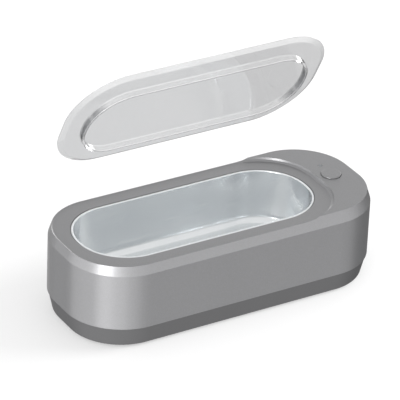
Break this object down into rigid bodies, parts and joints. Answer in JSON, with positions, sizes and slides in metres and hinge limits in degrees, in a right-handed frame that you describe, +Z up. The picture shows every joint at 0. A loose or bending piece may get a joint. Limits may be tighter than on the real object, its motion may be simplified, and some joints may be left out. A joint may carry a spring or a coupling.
{
  "type": "ultrasonic cleaner",
  "caption": "Long rounded bench-top ultrasonic cleaner with a bevelled housing, a drawn steel tank, a clear lift-off lid and a push button on a plain control deck.",
  "frame": {"origin": "on the surface that the feet stand on, under the middle of the housing", "axes": "+Z up, +X along the housing towards the control deck, -Y the long front side"},
  "size_m": [0.2, 0.0852, 0.1614],
  "materials": {
    "base_grey": "fine-textured dark grey ABS",
    "black_epoxy": "black moulded epoxy",
    "board_green": "solder-masked glass epoxy",
    "button_grey": "satin grey ABS",
    "capacitor_sleeve": "shrunk vinyl sleeve",
    "contact_nickel": "nickel-plated brass",
    "copper_wire": "enamelled copper wire",
    "ferrite": "sintered ferrite",
    "film_box": "moulded capacitor box",
    "inlet_black": "black nylon",
    "lamp_clear": "clear epoxy and polycarbonate",
    "lead_black": "black silicone insulation",
    "lead_red": "red silicone insulation",
    "lid_clear": "clear polished styrene-acrylic",
    "piezo_ceramic": "sintered piezo ceramic",
    "rubber_black": "matt black rubber",
    "screw_steel": "zinc-plated steel",
    "shell_grey": "satin silver-grey painted ABS",
    "silicone": "translucent white silicone",
    "silver_film": "fired silver film",
    "sink_aluminium": "extruded aluminium",
    "socket_white": "natural nylon",
    "tank_steel": "satin drawn 304 stainless sheet"
  },
  "bodies": {
    "housing": {"base_cover": "base_grey", "base_screws": "screw_steel", "choke": "copper_wire", "clip_screws": "screw_steel", "control_board": "board_green", "control_lead": "lead_black", "control_screws": "screw_steel", "disc_electrode": "silver_film", "drive_capacitor": "film_box", "drive_transistor": "black_epoxy", "driver_board": "board_green", "driver_screws": "screw_steel", "fuse": "black_epoxy", "heat_sink": "sink_aluminium", "inlet_lead_live": "lead_red", "inlet_lead_return": "lead_black", "inlet_nut": "contact_nickel", "inlet_pin": "contact_nickel", "lamp": "lamp_clear", "lead_sockets": "socket_white", "light_guide": "lamp_clear", "outer_shell": "shell_grey", "piezo_disc": "piezo_ceramic", "power_inlet": "inlet_black", "rubber_feet": "rubber_black", "smoothing_capacitors": "capacitor_sleeve", "support_pads": "rubber_black", "switch_body": "black_epoxy", "tank": "tank_steel", "tank_clips": "screw_steel", "tank_seal": "silicone", "timer_chip": "black_epoxy", "transducer_lead_live": "lead_red", "transducer_lead_return": "lead_black", "transformer_coil": "copper_wire", "transformer_core": "ferrite", "transistor_screw": "screw_steel"},
    "lid": {"lid": "lid_clear"},
    "button": {"power_button": "button_grey", "switch_plunger": "black_epoxy"}
  },
  "joints": [
    {"name": "lid_lower", "type": "hinge", "parent": "housing", "child": "lid", "pos_m": [-0.0124, 0.0617, 0.0858], "axis": [1, 0, 0], "range_deg": [0, 62]},
    {"name": "button_press", "type": "slide", "parent": "housing", "child": "button", "axis": [0, 0, -1], "range_m": [0, 0.0008], "stiffness_N_per_m": 800, "springref_m": -0.001}
  ]
}
